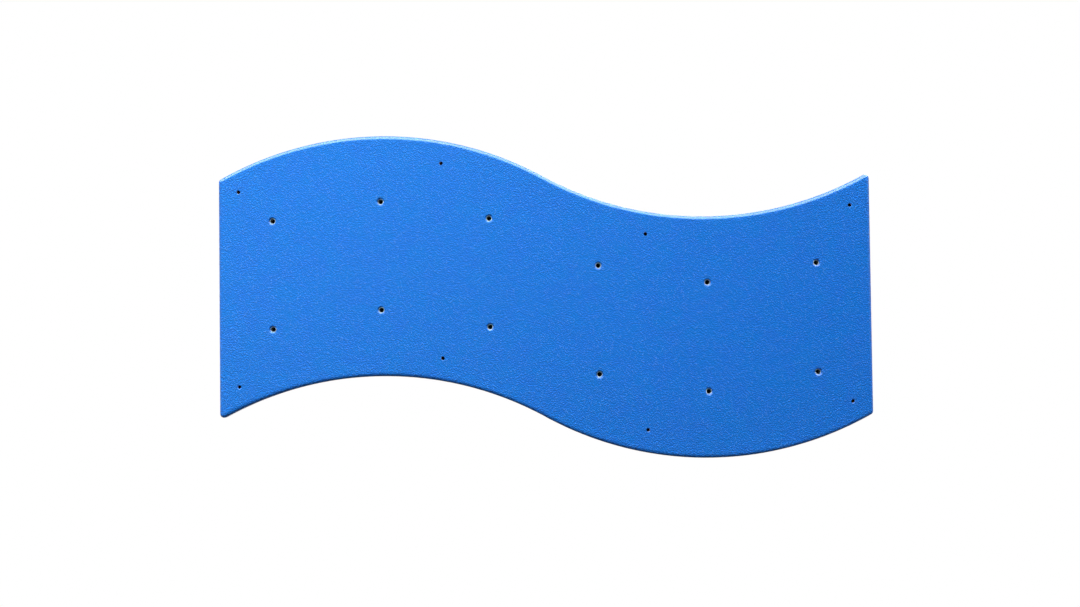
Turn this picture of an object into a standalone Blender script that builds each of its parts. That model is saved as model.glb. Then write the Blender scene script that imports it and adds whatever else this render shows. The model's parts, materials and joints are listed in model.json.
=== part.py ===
"""A wave-shaped climbing wall panel: coated plywood, with T-nuts screwed in from behind.

Pieces are modelled in the panel's own drilling frame: x to the right and y up as seen from the front,
and z as the depth from the back face towards the front. One parent empty then stands the panel upright,
so that its front faces -Y. The origin is the middle of the back face, where the wave's arch turns into
its dip.
"""

import math

import bmesh
import bpy

INCH = 0.0254

# Outline, as seen from the front: an arch, then a dip, each one circular arc, between two plumb ends
PANEL_WIDTH = 48 * INCH
BAND_HEIGHT = 17.75 * INCH  # height of any plumb slice through the panel
WAVE_RISE = 3.125 * INCH  # from the wave's middle line to the top of the arch
CORNER_RADIUS = 0.0075

# Board and coat
BOARD_THICKNESS = 0.018
COAT_THICKNESS = 0.0008
FRONT_ROUNDOVER = 0.00635  # radius on the outside of the coat
BACK_EDGE_BREAK = 0.001  # small chamfer round the back, where the coat ends
SEAM = 0.0003  # gap left between pieces that touch

# Holes for the holds: rows that follow the wave
GRID_COLUMNS = 6
GRID_ROWS = 2
GRID_END_INSET = 4 * INCH  # from a plumb end to the nearest column
ROW_PITCH = 8 * INCH  # plumb distance from row to row

# Holes for screwing the panel to a wall: one row near each long edge
FIXING_COLUMNS = 4
FIXING_HOLE_DIAMETER = 0.007
FIXING_END_INSET = 1.5 * INCH  # from a plumb end to the nearest column
FIXING_EDGE_INSET = 1.6875 * INCH  # plumb distance from a long edge to its row

# T-nut: a threaded barrel on a round flange that is screwed to the back of the board
BORE_DIAMETER = 0.008  # minor diameter of a 3/8-16 thread
BARREL_DIAMETER = 0.0111
BARREL_SETBACK = 0.0029  # from the wood's front face back to the barrel's end
BARREL_CLEARANCE = 0.00045  # between the barrel and the wood round it
FLANGE_DIAMETER = 0.030
FLANGE_THICKNESS = 0.0016
FLANGE_CLEARANCE = 0.001  # between the flange's rim and the wall of its recess
BORE_CHAMFER = 0.0007
MOUTH_RELIEF = 0.0002  # how much wider the coat is cut than the wood under it

# Pan-head wood screw
SCREWS_PER_TNUT = 3
SCREW_DIAMETER = 0.0035
HEAD_DIAMETER = 0.0069
HEAD_HEIGHT = 0.0022
HEAD_RIM = 0.0011  # straight side of the head, under its dome
HEAD_SINK = 0.0006  # how far a head stays below the back face
TIP_LENGTH = 0.003
TIP_COVER = 0.0022  # wood left in front of a pilot hole

# Depths from the back face that follow from the sizes above
RECESS_DEPTH = HEAD_SINK + HEAD_HEIGHT + SEAM + FLANGE_THICKNESS + SEAM
FLANGE_DEPTH = RECESS_DEPTH - SEAM - FLANGE_THICKNESS  # of the flange's outer face
HEAD_SEAT_DEPTH = FLANGE_DEPTH - SEAM
BARREL_END_DEPTH = BOARD_THICKNESS - BARREL_SETBACK
PILOT_DEPTH = BOARD_THICKNESS - TIP_COVER
PANEL_THICKNESS = BOARD_THICKNESS + SEAM + COAT_THICKNESS

# Other sizes that follow
CREST = PANEL_WIDTH / 4  # how far the arch's top lies from the middle
WAVE_RADIUS = (CREST**2 + WAVE_RISE**2) / (2 * WAVE_RISE)
SCREW_CIRCLE_RADIUS = (BARREL_DIAMETER + FLANGE_DIAMETER) / 4
SCREW_HOLE_RADIUS = SCREW_DIAMETER / 2 + SEAM
BARREL_HOLE_RADIUS = BARREL_DIAMETER / 2 + BARREL_CLEARANCE

# Fineness of the curves
WAVE_STEPS = 18
CORNER_STEPS = 4
ROUNDOVER_STEPS = 4
BARREL_STEPS = 16
RECESS_STEPS = 24
HOLE_STEPS = 12
SCREW_STEPS = 8
PILOT_STEPS = 8
HEAD_DOME_STEPS = 2

OVERCUT = 0.002  # how far a cutter runs past the face it opens
WELD_DISTANCE = 1e-6
FLAT_ANGLE = math.radians(0.1)  # faces that meet at less than this are one flat face
SHARP_ANGLE = math.radians(35)  # edges that turn more than this stay crisp when shaded


def clear_scene():
    """Remove every object and keep the file itself open."""
    for obj in list(bpy.data.objects):
        bpy.data.objects.remove(obj)


def new_collection(name):
    """Add a collection to the scene."""
    collection = bpy.data.collections.new(name)
    bpy.context.scene.collection.children.link(collection)
    return collection


def new_material(name, colour, roughness, metallic):
    """A plain finish for one kind of piece."""
    material = bpy.data.materials.new(name)
    material.use_nodes = True
    shader = material.node_tree.nodes["Principled BSDF"]
    shader.inputs["Base Color"].default_value = (*colour, 1.0)
    shader.inputs["Roughness"].default_value = roughness
    shader.inputs["Metallic"].default_value = metallic
    material.diffuse_color = (*colour, 1.0)
    return material


def arc(centre, radius, start, end, steps):
    """Points along a circular arc, from its start up to just before its end."""
    return [
        (
            centre[0] + radius * math.cos(start + (end - start) * step / steps),
            centre[1] + radius * math.sin(start + (end - start) * step / steps),
        )
        for step in range(steps)
    ]


def wave_height(x):
    """Height of the wave's middle line: an arch on the left, the same arc upside down on the right."""
    rise = WAVE_RISE - WAVE_RADIUS + math.sqrt(WAVE_RADIUS**2 - (abs(x) - CREST) ** 2)
    return math.copysign(rise, -x)


def panel_outline(inset):
    """The panel's outline, clockwise from the front, drawn a distance inside its true edge.

    The arcs keep their centres when the outline is drawn further in, so every inset runs parallel to
    the edge. The lower half is the upper half turned through half a turn about the middle.
    """
    half_height = BAND_HEIGHT / 2
    corner_x = PANEL_WIDTH / 2 - CORNER_RADIUS
    arch = (-CREST, half_height + WAVE_RISE - WAVE_RADIUS)
    dip = (CREST, half_height - WAVE_RISE + WAVE_RADIUS)
    inflection = math.atan2(WAVE_RADIUS - WAVE_RISE, CREST)

    outer_drop = corner_x - CREST
    left_rise = math.sqrt((WAVE_RADIUS - CORNER_RADIUS) ** 2 - outer_drop**2)
    left_corner = (-corner_x, arch[1] + left_rise)
    left_angle = math.atan2(left_rise, -outer_drop)
    right_fall = math.sqrt((WAVE_RADIUS + CORNER_RADIUS) ** 2 - outer_drop**2)
    right_corner = (corner_x, dip[1] - right_fall)
    right_angle = math.atan2(-right_fall, outer_drop)

    corner_radius = CORNER_RADIUS - inset
    upper = (
        arc(left_corner, corner_radius, math.pi, left_angle, CORNER_STEPS)
        + arc(arch, WAVE_RADIUS - inset, left_angle, inflection, WAVE_STEPS)
        + arc(dip, WAVE_RADIUS + inset, inflection - math.pi, right_angle, WAVE_STEPS)
        + arc(right_corner, corner_radius, right_angle + math.pi, 0.0, CORNER_STEPS)
        + [(right_corner[0] + corner_radius, right_corner[1])]
    )
    return upper + [(-x, -y) for x, y in upper]


def mesh_object(name, mesh, collection, parent=None):
    """Put a mesh in the scene, placed under its parent."""
    obj = bpy.data.objects.new(name, mesh)
    collection.objects.link(obj)
    obj.parent = parent
    return obj


def baked_mesh(obj):
    """The object's mesh with its modifiers applied. The object itself is removed."""
    graph = bpy.context.evaluated_depsgraph_get()
    mesh = bpy.data.meshes.new_from_object(obj.evaluated_get(graph))
    bpy.data.objects.remove(obj)
    return mesh


def slab_mesh(name, outline, back, front):
    """A flat slab with the given outline between two depths, with one face on each side."""
    curve = bpy.data.curves.new(name, "CURVE")
    curve.dimensions = "2D"
    curve.fill_mode = "BOTH"
    curve.extrude = (front - back) / 2
    spline = curve.splines.new("POLY")
    spline.points.add(len(outline) - 1)
    for point, (x, y) in zip(spline.points, outline):
        point.co = (x, y, 0.0, 1.0)
    spline.use_cyclic_u = True
    mesh = baked_mesh(mesh_object(name, curve, bpy.context.scene.collection))

    cage = bmesh.new()
    cage.from_mesh(mesh)
    bmesh.ops.translate(cage, verts=cage.verts, vec=(0.0, 0.0, (front + back) / 2))
    bmesh.ops.remove_doubles(cage, verts=cage.verts, dist=WELD_DISTANCE)
    flat = [edge for edge in cage.edges if edge.calc_face_angle(math.pi) < FLAT_ANGLE]
    bmesh.ops.dissolve_edges(cage, edges=flat)
    bmesh.ops.recalc_face_normals(cage, faces=cage.faces)
    cage.to_mesh(mesh)
    cage.free()
    return mesh


def mark_rim(obj, name, depth):
    """Name the points at one depth, so that a Bevel finds the edge that they make."""
    group = obj.vertex_groups.new(name=name)
    level = [v.index for v in obj.data.vertices if abs(v.co.z - depth) < WELD_DISTANCE]
    group.add(level, 1.0, "REPLACE")


def round_rim(obj, rim, width, segments):
    """Bevel one named rim."""
    bevel = obj.modifiers.new(rim, "BEVEL")
    bevel.limit_method = "VGROUP"
    bevel.vertex_group = rim
    bevel.width = width
    bevel.segments = segments


def cut_with(obj, cutters):
    """Cut a whole collection of cutters out of the object."""
    boolean = obj.modifiers.new("drilling", "BOOLEAN")
    boolean.operation = "DIFFERENCE"
    boolean.solver = "EXACT"
    boolean.operand_type = "COLLECTION"
    boolean.collection = cutters


def cylinder_mesh(name, radius, back, front, steps):
    """A straight cylinder between two depths."""
    cage = bmesh.new()
    bmesh.ops.create_cone(
        cage,
        cap_ends=True,
        segments=steps,
        radius1=radius,
        radius2=radius,
        depth=front - back,
    )
    bmesh.ops.translate(cage, verts=cage.verts, vec=(0.0, 0.0, (front + back) / 2))
    mesh = bpy.data.meshes.new(name)
    cage.to_mesh(mesh)
    cage.free()
    return mesh


def turned_mesh(name, profile, steps, ring):
    """Turn a profile of (radius, depth) points about the z axis. A ring's profile closes on itself."""
    count = len(profile)
    edges = [(index, (index + 1) % count) for index in range(count if ring else count - 1)]
    mesh = bpy.data.meshes.new(name)
    mesh.from_pydata([(radius, 0.0, depth) for radius, depth in profile], edges, [])
    lathe = mesh_object(name, mesh, bpy.context.scene.collection)
    screw = lathe.modifiers.new("turning", "SCREW")
    screw.steps = steps
    screw.render_steps = steps
    screw.use_merge_vertices = True
    screw.merge_threshold = WELD_DISTANCE
    turned = baked_mesh(lathe)
    turned.name = name
    turned.shade_smooth()
    turned.set_sharp_from_angle(angle=SHARP_ANGLE)
    return turned


def add_cutter(name, mesh, collection, place, parent=None):
    """Place a cutter that the finished panel doesn't show."""
    cutter = mesh_object(name, mesh, collection, parent)
    cutter.location = (*place, 0.0)
    cutter.hide_render = True
    cutter.display_type = "WIRE"


def spread(count, inset):
    """Even places across the width for a row's holes, the outer two a distance in from the ends."""
    span = PANEL_WIDTH - 2 * inset
    return [span * index / (count - 1) - span / 2 for index in range(count)]


def grid_places():
    """Where the T-nuts go: the name and the (x, y) place of each, row by row from the top left."""
    places = {}
    for row in range(GRID_ROWS):
        height = ((GRID_ROWS - 1) / 2 - row) * ROW_PITCH
        for column, x in enumerate(spread(GRID_COLUMNS, GRID_END_INSET), 1):
            places[f"row{row + 1}_col{column}"] = (x, wave_height(x) + height)
    return places


def fixing_places():
    """Where the wall screws pass through: a row along the upper edge and one along the lower edge."""
    row_height = BAND_HEIGHT / 2 - FIXING_EDGE_INSET
    places = {}
    for side, height in (("upper", row_height), ("lower", -row_height)):
        for column, x in enumerate(spread(FIXING_COLUMNS, FIXING_END_INSET), 1):
            places[f"{side}_{column}"] = (x, wave_height(x) + height)
    return places


def screw_places():
    """Where a T-nut's screws stand about its axis, the first one above it."""
    places = []
    for index in range(SCREWS_PER_TNUT):
        angle = math.pi / 2 + index * math.tau / SCREWS_PER_TNUT
        places.append((SCREW_CIRCLE_RADIUS * math.cos(angle), SCREW_CIRCLE_RADIUS * math.sin(angle)))
    return places


def drill_cutters(board_cuts, coat_cuts, frame):
    """The drilling of the board and of the coat, from the same places and sizes as what goes in."""
    front = PANEL_THICKNESS + OVERCUT
    recess = cylinder_mesh(
        "recess", FLANGE_DIAMETER / 2 + FLANGE_CLEARANCE, -OVERCUT, RECESS_DEPTH, RECESS_STEPS
    )
    barrel_hole = cylinder_mesh("barrel_hole", BARREL_HOLE_RADIUS, -OVERCUT, front, BARREL_STEPS)
    pilot = cylinder_mesh("pilot", SCREW_HOLE_RADIUS, -OVERCUT, PILOT_DEPTH, PILOT_STEPS)
    fixing_hole = cylinder_mesh(
        "fixing_hole", FIXING_HOLE_DIAMETER / 2, -OVERCUT, front, HOLE_STEPS
    )
    coat_back = BOARD_THICKNESS / 2  # well behind the coat's front, where nothing of it is left to cut
    mouth = cylinder_mesh(
        "mouth", BARREL_HOLE_RADIUS + MOUTH_RELIEF, coat_back, front, BARREL_STEPS
    )
    fixing_mouth = cylinder_mesh(
        "fixing_mouth", FIXING_HOLE_DIAMETER / 2 + MOUTH_RELIEF, coat_back, front, HOLE_STEPS
    )
    for label, (x, y) in grid_places().items():
        add_cutter(f"cut_recess_{label}", recess, board_cuts, (x, y), frame)
        add_cutter(f"cut_barrel_{label}", barrel_hole, board_cuts, (x, y), frame)
        add_cutter(f"cut_mouth_{label}", mouth, coat_cuts, (x, y), frame)
        for index, (across, up) in enumerate(screw_places(), 1):
            place = (x + across, y + up)
            add_cutter(f"cut_pilot_{label}_{index}", pilot, board_cuts, place, frame)
    for label, place in fixing_places().items():
        add_cutter(f"cut_fixing_{label}", fixing_hole, board_cuts, place, frame)
        add_cutter(f"cut_fixing_mouth_{label}", fixing_mouth, coat_cuts, place, frame)


def build_board(parts, cuts, frame):
    """The plywood board: the coat's outline drawn in by the coat, rounded in front and drilled."""
    inset = COAT_THICKNESS + SEAM
    mesh = slab_mesh("board", panel_outline(inset), 0.0, BOARD_THICKNESS)
    board = mesh_object("plywood_board", mesh, parts, frame)
    mark_rim(board, "front_rim", BOARD_THICKNESS)
    mark_rim(board, "back_rim", 0.0)
    round_rim(board, "front_rim", FRONT_ROUNDOVER - inset, ROUNDOVER_STEPS)
    round_rim(board, "back_rim", BACK_EDGE_BREAK, 1)
    cut_with(board, cuts)
    mesh.materials.append(new_material("birch_plywood", (0.66, 0.47, 0.27), 0.6, 0.0))


def build_coat(parts, cuts, frame):
    """The coat: a thin skin over the front and the edges, open at the back and at each hole."""
    mesh = slab_mesh("coat", panel_outline(0.0), BACK_EDGE_BREAK, PANEL_THICKNESS)
    cage = bmesh.new()
    cage.from_mesh(mesh)
    back = [
        face
        for face in cage.faces
        if abs(face.calc_center_median().z - BACK_EDGE_BREAK) < WELD_DISTANCE
    ]
    bmesh.ops.delete(cage, geom=back, context="FACES_ONLY")
    cage.to_mesh(mesh)
    cage.free()
    coat = mesh_object("textured_coat", mesh, parts, frame)
    mark_rim(coat, "front_rim", PANEL_THICKNESS)
    round_rim(coat, "front_rim", FRONT_ROUNDOVER, ROUNDOVER_STEPS)
    skin = coat.modifiers.new("skin", "SOLIDIFY")
    skin.thickness = COAT_THICKNESS
    skin.offset = -1.0
    skin.use_even_offset = True
    cut_with(coat, cuts)
    mesh.materials.append(new_material("textured_blue_coat", (0.028, 0.19, 0.72), 0.55, 0.0))


def tnut_mesh():
    """A T-nut with the panel's back face at depth 0: flange, barrel, chamfered bore and screw holes."""
    bore = BORE_DIAMETER / 2
    barrel = BARREL_DIAMETER / 2
    flange = FLANGE_DIAMETER / 2
    flange_front = FLANGE_DEPTH + FLANGE_THICKNESS
    profile = [
        (bore + BORE_CHAMFER, BARREL_END_DEPTH),
        (barrel, BARREL_END_DEPTH),
        (barrel, flange_front),
        (flange, flange_front),
        (flange, FLANGE_DEPTH),
        (bore + BORE_CHAMFER, FLANGE_DEPTH),
        (bore, FLANGE_DEPTH + BORE_CHAMFER),
        (bore, BARREL_END_DEPTH - BORE_CHAMFER),
    ]
    turned = turned_mesh("blank", profile, BARREL_STEPS, True)
    blank = mesh_object("blank", turned, bpy.context.scene.collection)
    punches = new_collection("punches")
    punch = cylinder_mesh(
        "punch", SCREW_HOLE_RADIUS, FLANGE_DEPTH - OVERCUT, flange_front + OVERCUT, PILOT_STEPS
    )
    for index, place in enumerate(screw_places(), 1):
        add_cutter(f"punch_{index}", punch, punches, place)
    cut_with(blank, punches)
    mesh = baked_mesh(blank)
    mesh.name = "tnut"
    for cutter in list(punches.objects):
        bpy.data.objects.remove(cutter)
    bpy.data.collections.remove(punches)
    return mesh


def screw_mesh():
    """A pan-head wood screw with the underside of its head at depth 0."""
    head = HEAD_DIAMETER / 2
    shank = SCREW_DIAMETER / 2
    length = PILOT_DEPTH - SEAM - HEAD_SEAT_DEPTH
    profile = [(0.0, length), (shank, length - TIP_LENGTH), (shank, 0.0), (head, 0.0)]
    for step in range(HEAD_DOME_STEPS):
        angle = math.pi / 2 * step / HEAD_DOME_STEPS
        height = HEAD_RIM + (HEAD_HEIGHT - HEAD_RIM) * math.sin(angle)
        profile.append((head * math.cos(angle), -height))
    profile.append((0.0, -HEAD_HEIGHT))
    return turned_mesh("wood_screw", profile, SCREW_STEPS, False)


def build_tnuts(parts, frame):
    """Every T-nut with its screws, which take their places from it."""
    tnut = tnut_mesh()
    tnut.materials.append(new_material("zinc_plated_tnut", (0.62, 0.64, 0.66), 0.35, 1.0))
    screw = screw_mesh()
    screw.materials.append(new_material("zinc_plated_screw", (0.70, 0.71, 0.72), 0.3, 1.0))
    for label, (x, y) in grid_places().items():
        nut = mesh_object(f"tnut_{label}", tnut, parts, frame)
        nut.location = (x, y, 0.0)
        for index, (across, up) in enumerate(screw_places(), 1):
            fastener = mesh_object(f"tnut_screw_{label}_{index}", screw, parts, nut)
            fastener.location = (across, up, HEAD_SEAT_DEPTH)


def main():
    """Build the panel and stand it upright, its front towards -Y."""
    clear_scene()
    parts = new_collection("climbing_wall_panel")
    board_cuts = new_collection("board_cutters")
    coat_cuts = new_collection("coat_cutters")
    frame = bpy.data.objects.new("panel_frame", None)
    parts.objects.link(frame)
    frame.rotation_euler = (math.pi / 2, 0.0, 0.0)
    drill_cutters(board_cuts, coat_cuts, frame)
    build_board(parts, board_cuts, frame)
    build_coat(parts, coat_cuts, frame)
    build_tnuts(parts, frame)


main()
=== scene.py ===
"""Looks of a wave-shaped climbing wall panel.

A drilled plywood board carries a rolled-on texture paint on its front, its rounded edge and its sides.
Threaded T-nuts are screwed into recesses in its bare back, one behind each hole that takes a hold.

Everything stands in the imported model's frame, in metres: x to the right and z up as seen from the front,
with the bare back at y = 0 and the painted front towards -Y. A depth is a distance in front of the back.
"""

import json
import logging
import math
from dataclasses import dataclass
from enum import Enum

import bmesh
import bpy
import numpy as np
from bpy.types import Material, Mesh, Node, NodeSocket, NodeTree, Object
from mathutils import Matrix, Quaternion, Vector, geometry


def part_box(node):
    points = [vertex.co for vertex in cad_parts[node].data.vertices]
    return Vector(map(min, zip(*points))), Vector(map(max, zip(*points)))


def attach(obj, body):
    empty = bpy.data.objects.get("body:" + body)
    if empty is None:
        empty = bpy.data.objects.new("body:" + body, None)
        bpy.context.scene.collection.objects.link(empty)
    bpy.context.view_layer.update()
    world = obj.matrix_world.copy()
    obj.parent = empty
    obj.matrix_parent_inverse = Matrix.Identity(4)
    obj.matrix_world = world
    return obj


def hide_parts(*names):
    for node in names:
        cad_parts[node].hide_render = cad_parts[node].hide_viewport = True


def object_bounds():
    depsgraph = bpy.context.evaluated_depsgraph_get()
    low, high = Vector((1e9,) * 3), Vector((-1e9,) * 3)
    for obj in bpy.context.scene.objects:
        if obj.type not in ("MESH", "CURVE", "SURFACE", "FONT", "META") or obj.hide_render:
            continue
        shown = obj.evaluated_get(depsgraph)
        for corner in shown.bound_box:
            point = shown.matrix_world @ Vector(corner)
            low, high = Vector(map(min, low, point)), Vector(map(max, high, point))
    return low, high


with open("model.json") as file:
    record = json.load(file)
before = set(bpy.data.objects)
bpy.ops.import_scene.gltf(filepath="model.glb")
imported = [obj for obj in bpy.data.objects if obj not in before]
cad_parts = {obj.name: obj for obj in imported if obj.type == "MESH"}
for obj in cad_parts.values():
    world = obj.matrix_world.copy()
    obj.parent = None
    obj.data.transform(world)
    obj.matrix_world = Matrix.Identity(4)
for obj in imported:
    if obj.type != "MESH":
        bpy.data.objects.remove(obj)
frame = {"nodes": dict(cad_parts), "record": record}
CAD_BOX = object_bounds()

Array = np.ndarray
Pair = tuple[float, float]

MM = 0.001
INCH = 25.4 * MM
WELD = 2e-6  # points closer than this are one point
SHARP_ANGLE = math.radians(40)
WHITE = "#ffffff"
SCREW_SEED = 11  # for how each screw came to rest

log = logging.getLogger("climbing_panel")


class Slot(Enum):
    """The record's material slots."""

    COAT = "coat"
    PLYWOOD = "plywood"
    TNUT = "zinc_tnut"
    SCREW = "zinc_screw"


class HoleKind(Enum):
    """What a hole in the panel is for."""

    HOLD = "hold"
    FIXING = "fixing"


# Geometry helpers


def at_depth(places: Array, depth: float | Array) -> Array:
    """Points (x, -depth, z) over (..., 2) places (x, z) on the panel, at one depth or at one for each."""
    depths = np.broadcast_to(depth, places.shape[:-1])
    return np.stack([places[..., 0], -depths, places[..., 1]], axis=-1)


def directions(angles: Array) -> Array:
    """Unit directions (cos a, sin a) at angles in radians."""
    return np.stack([np.cos(angles), np.sin(angles)], axis=-1)


def spokes(count: int) -> Array:
    """Unit directions at even angles, anticlockwise from +x."""
    return directions(np.arange(count) * math.tau / count)


def arc(centre: Pair, radius: float, start: float, end: float, steps: int) -> Array:
    """Points along an arc of a profile: centre + radius * (cos a, sin a), from start to end in degrees."""
    return np.array(centre) + radius * directions(np.radians(np.linspace(start, end, steps + 1)))


def lathe(radii: Array, depths: Array, centre: Array, around: Array) -> Array:
    """Grid of centre + radius * spoke at each depth, from (rows,) or (rows, spokes) radii."""
    radii = radii if radii.ndim == 2 else radii[:, None]
    return at_depth(centre + radii[..., None] * around, depths[:, None])


def rim_of(patch: Array) -> Array:
    """The loop of places or points round a grid, from its first corner along its first row."""
    return np.concatenate([patch[0, :-1], patch[:-1, -1], patch[-1, :0:-1], patch[:0:-1, 0]])


def out_from(centre: Array, loop: Array) -> Array:
    """Unit directions from a centre to each place of a loop round it."""
    return (loop - centre) / np.linalg.norm(loop - centre, axis=1, keepdims=True)


@dataclass(frozen=True)
class Seat:
    """Where a round node of the frame lies."""

    centre: Array  # (x, z) of its axis
    radius: float
    back: float  # depths of its two ends
    front: float

    @classmethod
    def of(cls, node: str) -> "Seat":
        """Read a node's seat off its box."""
        low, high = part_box(node)
        return cls(np.array([low.x + high.x, low.z + high.z]) / 2, (high.x - low.x) / 2, -high.y, -low.y)


@dataclass(frozen=True)
class Thread:
    """A screw thread, as a helix of grooves or ribs on a round surface."""

    pitch: float
    height: float
    flat: float = 0.2  # share of the pitch that is flat at the crest, and as much again at the root
    rows_per_turn: int = 10

    def wall(self, radius: float, start: float, end: float, around: Array) -> tuple[Array, Array]:
        """A threaded wall, as a right-handed helix.

        The phase is depth / pitch - angle / tau, and the flank is a triangle wave clipped flat at
        its crest and its root. The thread grows from nothing over one pitch at each end.

        Args:
            radius: the wall's radius without its thread.
            start: depth at which it begins.
            end: depth at which it ends.
            around: (spokes, 2) unit directions.

        Returns:
            (rows, spokes) radii and (rows,) depths.
        """
        depths = np.linspace(start, end, round((end - start) / self.pitch * self.rows_per_turn))
        angles = np.arctan2(around[:, 1], around[:, 0])
        phase = depths[:, None] / self.pitch - angles / math.tau
        triangle = 2.0 * np.abs(phase % 1.0 - 0.5)
        flank = np.clip((triangle - self.flat) / (1.0 - 2.0 * self.flat), 0.0, 1.0)
        ends = np.minimum(depths - start, end - depths) / self.pitch
        return radius + self.height * flank * np.clip(ends, 0.0, 1.0)[:, None], depths


@dataclass(frozen=True)
class Relief:
    """Soft unevenness of a surface: a sum of even waves that run in every direction."""

    grain: float  # typical wavelength
    height: float  # root mean square height
    spread: Pair = (0.75, 1.35)  # shortest and longest wavelength, as shares of the grain
    waves: int = 48
    seed: int = 7

    def at(self, points: Array) -> Array:
        """Height of the relief: sum of cos(k . p + phase) over the waves, scaled.

        Args:
            points: (n, 3) points.

        Returns:
            (n,) heights.
        """
        rng = np.random.default_rng(self.seed)
        ways = rng.normal(size=(self.waves, 3))
        ways /= np.linalg.norm(ways, axis=1, keepdims=True)
        numbers = math.tau / (self.grain * rng.uniform(*self.spread, size=(self.waves, 1)))
        phases = rng.uniform(0.0, math.tau, size=self.waves)
        waves = np.cos(points @ (ways * numbers).T + phases)
        return self.height * math.sqrt(2.0 / self.waves) * waves.sum(axis=1)


class Skin:
    """Gathers patches of surface and welds them into one closed mesh.

    Each point carries a mark from 0 to 1, which stays on the mesh as an attribute with the mark's name.
    """

    def __init__(self, mark: str = "mark") -> None:
        """Start with no surface.

        Args:
            mark: what the mark is called on the mesh.
        """
        self.mark = mark
        self.points: list[Array] = []
        self.marks: list[Array] = []
        self.faces: list[list[int]] = []
        self.smooth: list[bool] = []
        self.count = 0

    def add(self, points: Array, faces: Array, smooth: bool, mark: Array | float) -> None:
        """Add points and the faces between them. A point that no face uses is left out.

        Args:
            points: (n, 3) points.
            faces: (m, corners) indices into those points.
            smooth: whether the faces are shaded as one curved surface.
            mark: the mark of all points, or of each.
        """
        used, corners = np.unique(faces, return_inverse=True)
        self.points.append(points[used])
        self.marks.append(np.broadcast_to(mark, len(points))[used])
        self.faces += (corners.reshape(faces.shape) + self.count).tolist()
        self.smooth += [smooth] * len(faces)
        self.count += len(used)

    def grid(
        self,
        points: Array,
        closed: bool = True,
        keep: Array | None = None,
        mark: Array | float = 0.0,
    ) -> None:
        """Add quads between the neighbours of a grid.

        Args:
            points: (rows, columns, 3) points.
            closed: whether the last column joins the first.
            keep: (rows - 1, columns - 1) cells to make, or None for all of them.
            mark: one mark for the grid, or one for each row.
        """
        rows, columns = points.shape[:2]
        index = np.arange(rows * columns).reshape(rows, columns)
        if closed:
            index = np.concatenate([index, index[:, :1]], axis=1)
        quads = np.stack([index[:-1, :-1], index[:-1, 1:], index[1:, 1:], index[1:, :-1]], axis=-1)
        quads = quads.reshape(-1, 4) if keep is None else quads[keep]
        self.add(points.reshape(-1, 3), quads, True, np.repeat(np.broadcast_to(mark, rows), columns))

    def turn(self, profile: Array, centre: Array, around: Array, mark: Array | float = 0.0) -> None:
        """Add a profile of (rows, 2) radii and depths, turned about an axis that runs through the panel."""
        self.grid(lathe(profile[:, 0], profile[:, 1], centre, around), mark=mark)

    def fill(self, outer: Array, holes: list[Array], depth: float) -> None:
        """Add a flat face between loops of places.

        Args:
            outer: (n, 2) loop round the face.
            holes: loops round the holes in it.
            depth: the face's depth.
        """
        loops = [outer, *holes]
        flat = [np.pad(loop, ((0, 0), (0, 1))).tolist() for loop in loops]
        triangles = np.array(geometry.tessellate_polygon(flat))
        self.add(at_depth(np.concatenate(loops), depth), triangles, False, 0.0)

    def piece(self, name: str, relief: Relief | None = None, closed: bool = True) -> Object:
        """Weld the patches, turn every face outwards and put the piece in the scene.

        Args:
            name: the new object's name.
            relief: unevenness along the surface's normals, or None.
            closed: whether the surface closes on itself. An open sheet's faces stay as they are.

        Returns:
            The object, at the origin, with its place in its mesh.
        """
        mesh = bpy.data.meshes.new(name)
        mesh.from_pydata(np.concatenate(self.points), [], self.faces)
        mesh.polygons.foreach_set("use_smooth", self.smooth)
        marks = mesh.attributes.new(self.mark, "FLOAT", "POINT")
        marks.data.foreach_set("value", np.concatenate(self.marks))
        cage = bmesh.new()
        cage.from_mesh(mesh)
        bmesh.ops.remove_doubles(cage, verts=cage.verts, dist=WELD)
        if closed:
            bmesh.ops.recalc_face_normals(cage, faces=cage.faces)
        cage.to_mesh(mesh)
        cage.free()
        if relief:
            self.raise_relief(mesh, relief)
        mesh.set_sharp_from_angle(angle=SHARP_ANGLE)
        obj = bpy.data.objects.new(name, mesh)
        bpy.context.scene.collection.objects.link(obj)
        return obj

    def raise_relief(self, mesh: Mesh, relief: Relief) -> None:
        """Move each point along its normal: point + mark * relief * normal.

        Args:
            mesh: the welded mesh.
            relief: the unevenness.
        """
        count = len(mesh.vertices)
        points = np.empty(count * 3, np.float32)
        normals = np.empty(count * 3, np.float32)
        weights = np.empty(count, np.float32)
        mesh.vertices.foreach_get("co", points)
        mesh.vertex_normals.foreach_get("vector", normals)
        mesh.attributes[self.mark].data.foreach_get("value", weights)
        points = points.reshape(-1, 3)
        moved = points + normals.reshape(-1, 3) * (weights * relief.at(points))[:, None]
        mesh.vertices.foreach_set("co", moved.astype(np.float32).ravel())
        mesh.update()


# Material helpers


def linear(colour: str) -> tuple[float, float, float, float]:
    """Turn an sRGB hex colour into the linear RGBA that a shader takes.

    Args:
        colour: such as #2e79dc.

    Returns:
        Red, green, blue and an alpha of 1, from 0 to 1.
    """
    channels = [int(colour[place : place + 2], 16) / 255 for place in (1, 3, 5)]
    low = [c / 12.92 if c <= 0.04045 else ((c + 0.055) / 1.055) ** 2.4 for c in channels]
    return (*low, 1.0)


def grain_scale(width: float) -> float:
    """Scale of a noise whose grains are this wide, on coordinates in metres."""
    return 1.0 / width


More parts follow.
